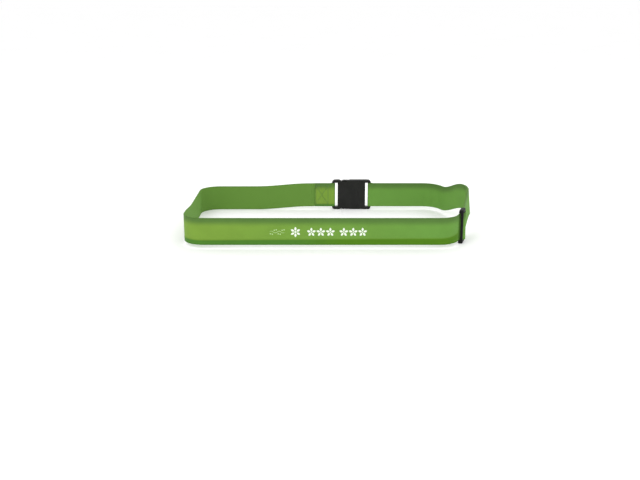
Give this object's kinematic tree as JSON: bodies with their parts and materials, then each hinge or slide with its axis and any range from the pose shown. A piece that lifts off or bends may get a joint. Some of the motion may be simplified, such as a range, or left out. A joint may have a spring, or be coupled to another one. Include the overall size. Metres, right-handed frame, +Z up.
{
  "type": "luggage strap",
  "caption": "Adjustable luggage strap of flat printed webbing with a side-release buckle and a tri-glide slider, buckled in a rounded rectangular loop.",
  "frame": {"origin": "centre of the case's section, level with the lowest points of the webbing, buckle and slider", "axes": "+X along the case's width, towards the side with the slider; +Y from the case's front to its back, where the buckle is; +Z upwards, along the opening"},
  "size_m": [0.5411, 0.3137, 0.0785],
  "materials": {
    "webbing": "woven polyester, printed",
    "buckle_plastic": "fine-textured acetal",
    "slider_plastic": "fine-textured acetal",
    "thread": "twisted polyester thread"
  },
  "bodies": {
    "webbing_and_socket": {"strap_webbing": "webbing", "buckle_socket": "buckle_plastic", "socket_end_stitching": "thread"},
    "plug": {"buckle_plug": "buckle_plastic"},
    "top_arm": {"latch_arm_top": "buckle_plastic"},
    "bottom_arm": {"latch_arm_bottom": "buckle_plastic"},
    "slider": {"tri_glide_slider": "slider_plastic", "slider_end_stitching": "thread"}
  },
  "joints": [
    {"name": "buckle_release", "type": "slide", "parent": "webbing_and_socket", "child": "plug", "axis": [1, 0, 0], "range_m": [0, 0.042], "deforming": ["strap_webbing", "latch_arm_top", "latch_arm_bottom"]},
    {"name": "top_arm_squeeze", "type": "hinge", "parent": "plug", "child": "top_arm", "pos_m": [0.08005, 0.1564, 0.055], "axis": [0, -1, 0], "range_deg": [0, 9], "stiffness_Nm_per_rad": 1.5},
    {"name": "bottom_arm_squeeze", "type": "hinge", "parent": "plug", "child": "bottom_arm", "pos_m": [0.08005, 0.1564, 0.008], "axis": [0, 1, 0], "range_deg": [0, 9], "stiffness_Nm_per_rad": 1.5},
    {"name": "slider_adjust", "type": "slide", "parent": "webbing_and_socket", "child": "slider", "axis": [0.3087, 0.9512, 0], "range_m": [0, 0.024], "deforming": ["strap_webbing"]}
  ]
}
